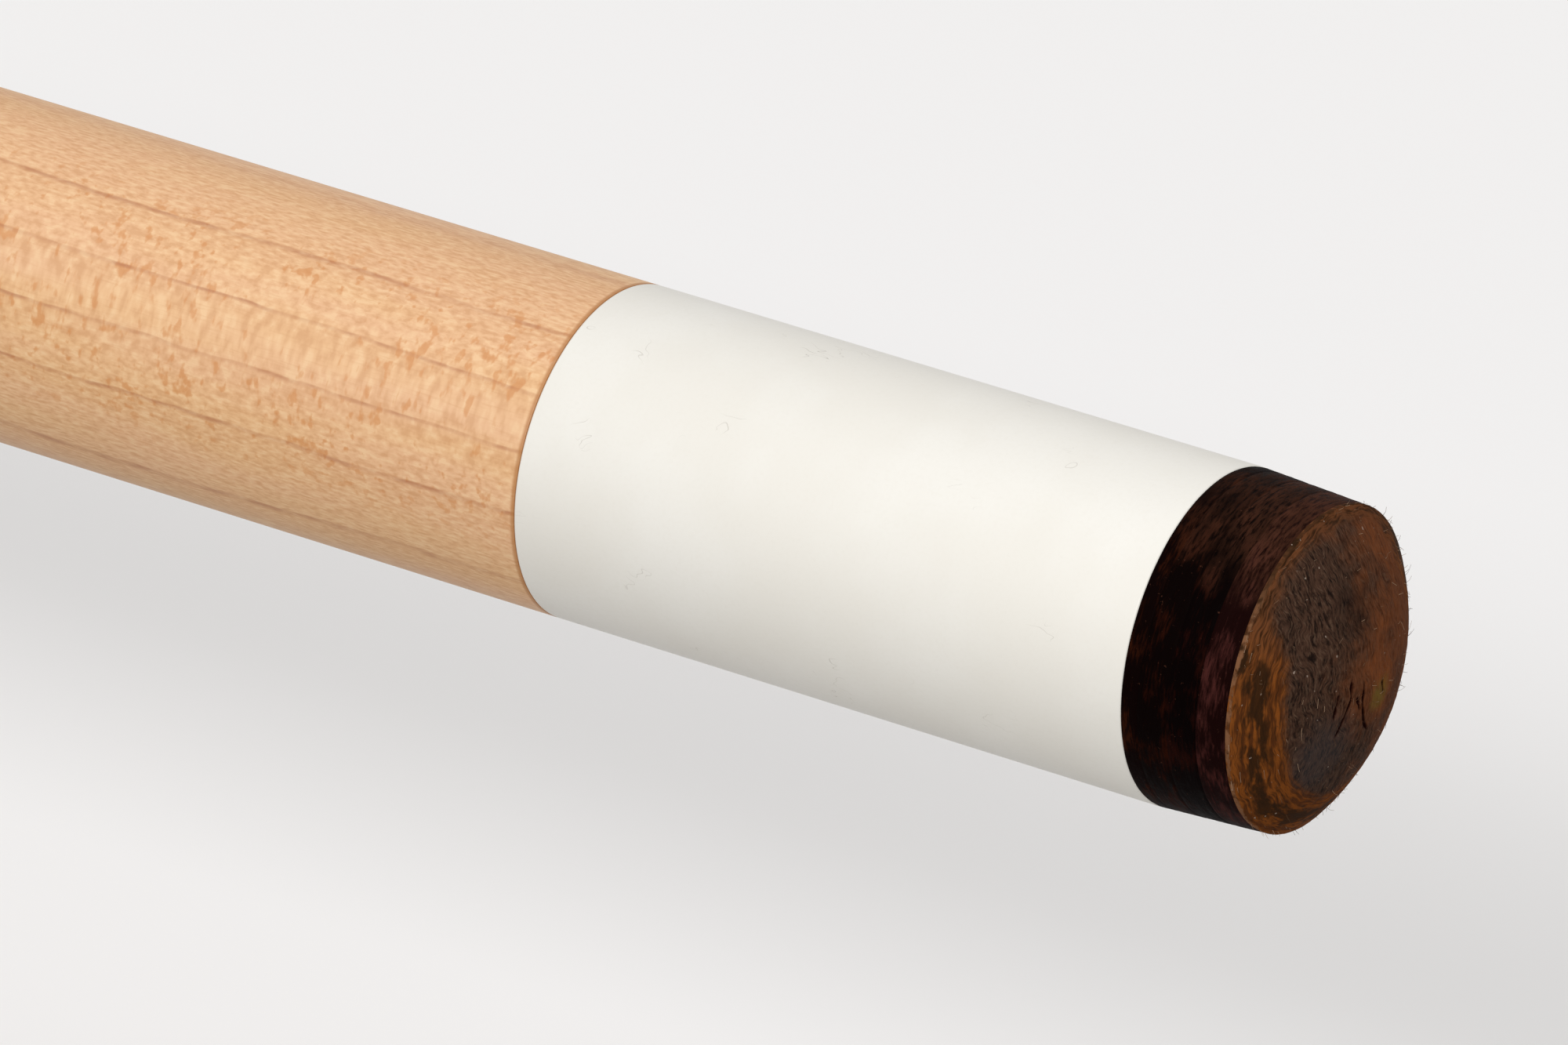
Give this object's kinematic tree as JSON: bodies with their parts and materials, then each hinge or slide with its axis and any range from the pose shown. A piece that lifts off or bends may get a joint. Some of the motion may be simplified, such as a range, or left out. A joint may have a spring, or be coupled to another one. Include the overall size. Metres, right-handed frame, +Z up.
{
  "type": "pool cue",
  "caption": "Two-piece tapered pool cue with a screw joint, linen-wrapped grip, white ferrule, domed layered leather tip and screw-on rubber bumper.",
  "frame": {"origin": "centre of the bumper's end face", "axes": "+X along the cue from the bumper to the tip, +Z up with the cue held level, +Y to the left when looking towards the tip"},
  "size_m": [1.4732, 0.0316, 0.0316],
  "materials": {
    "bumper_rubber": "matte black rubber",
    "zinc_steel": "bright zinc-plated steel",
    "dark_steel": "black oxide steel",
    "cap_resin": "polished black resin",
    "ring_silver": "polished nickel silver",
    "dark_wood": "stained hardwood under gloss lacquer",
    "core_maple": "plain maple",
    "linen": "pressed linen thread, black with white flecks",
    "forearm_maple": "hard maple under gloss lacquer",
    "collar_steel": "polished stainless steel",
    "pin_steel": "bright stainless steel",
    "insert_brass": "turned brass",
    "shaft_maple": "burnished hard maple",
    "ferrule_white": "warm white, satin",
    "leather_side": "burnished layered leather",
    "leather_core": "shaped, slightly fibrous leather"
  },
  "bodies": {
    "butt": {"butt_cap": "cap_resin", "butt_sleeve": "dark_wood", "cap_ring": "ring_silver", "forearm": "forearm_maple", "forearm_band": "dark_wood", "forearm_ring_front": "ring_silver", "forearm_ring_rear": "ring_silver", "handle_band": "dark_wood", "handle_core": "core_maple", "handle_ring_front": "ring_silver", "handle_ring_rear": "ring_silver", "handle_stud": "zinc_steel", "joint_band": "dark_wood", "joint_collar": "collar_steel", "joint_pin": "pin_steel", "joint_ring_front": "ring_silver", "joint_ring_rear": "ring_silver", "linen_wrap": "linen", "weight_bolt": "zinc_steel"},
    "shaft_carrier": {"shaft_ring_rear": "ring_silver"},
    "shaft": {"shaft_insert": "insert_brass", "shaft_collar": "cap_resin", "shaft_band": "dark_wood", "shaft_ring_front": "ring_silver", "shaft_wood": "shaft_maple", "ferrule": "ferrule_white", "tip_layer_1": "leather_side", "tip_layer_2": "leather_side", "tip_layer_3": "leather_side", "tip_layer_4": "leather_side", "tip_layer_5": "leather_side", "tip_layer_6": "leather_core"},
    "bumper_foot": {"bumper": "bumper_rubber", "bumper_washer": "zinc_steel"},
    "bumper_fastener": {"bumper_screw": "dark_steel"}
  },
  "joints": [
    {"name": "shaft_travel", "type": "slide", "parent": "butt", "child": "shaft_carrier", "axis": [1, 0, 0], "range_m": [0, 0.0381]},
    {"name": "shaft_turn", "type": "hinge", "parent": "shaft_carrier", "child": "shaft", "pos_m": [0.7366, 0, 0], "axis": [1, 0, 0], "range_deg": [0, 5400.5]},
    {"name": "bumper_travel", "type": "slide", "parent": "butt", "child": "bumper_foot", "axis": [-1, 0, 0], "range_m": [0, 0.0127]},
    {"name": "bumper_screw_turn", "type": "hinge", "parent": "bumper_foot", "child": "bumper_fastener", "pos_m": [0, 0, 0], "axis": [-1, 0, 0], "range_deg": [0, 3600.5]}
  ],
  "couplings": [
    {"joint": "shaft_turn", "follows": "shaft_travel", "rad_per_m": 2473.7},
    {"joint": "bumper_screw_turn", "follows": "bumper_travel", "rad_per_m": 4947.4}
  ]
}
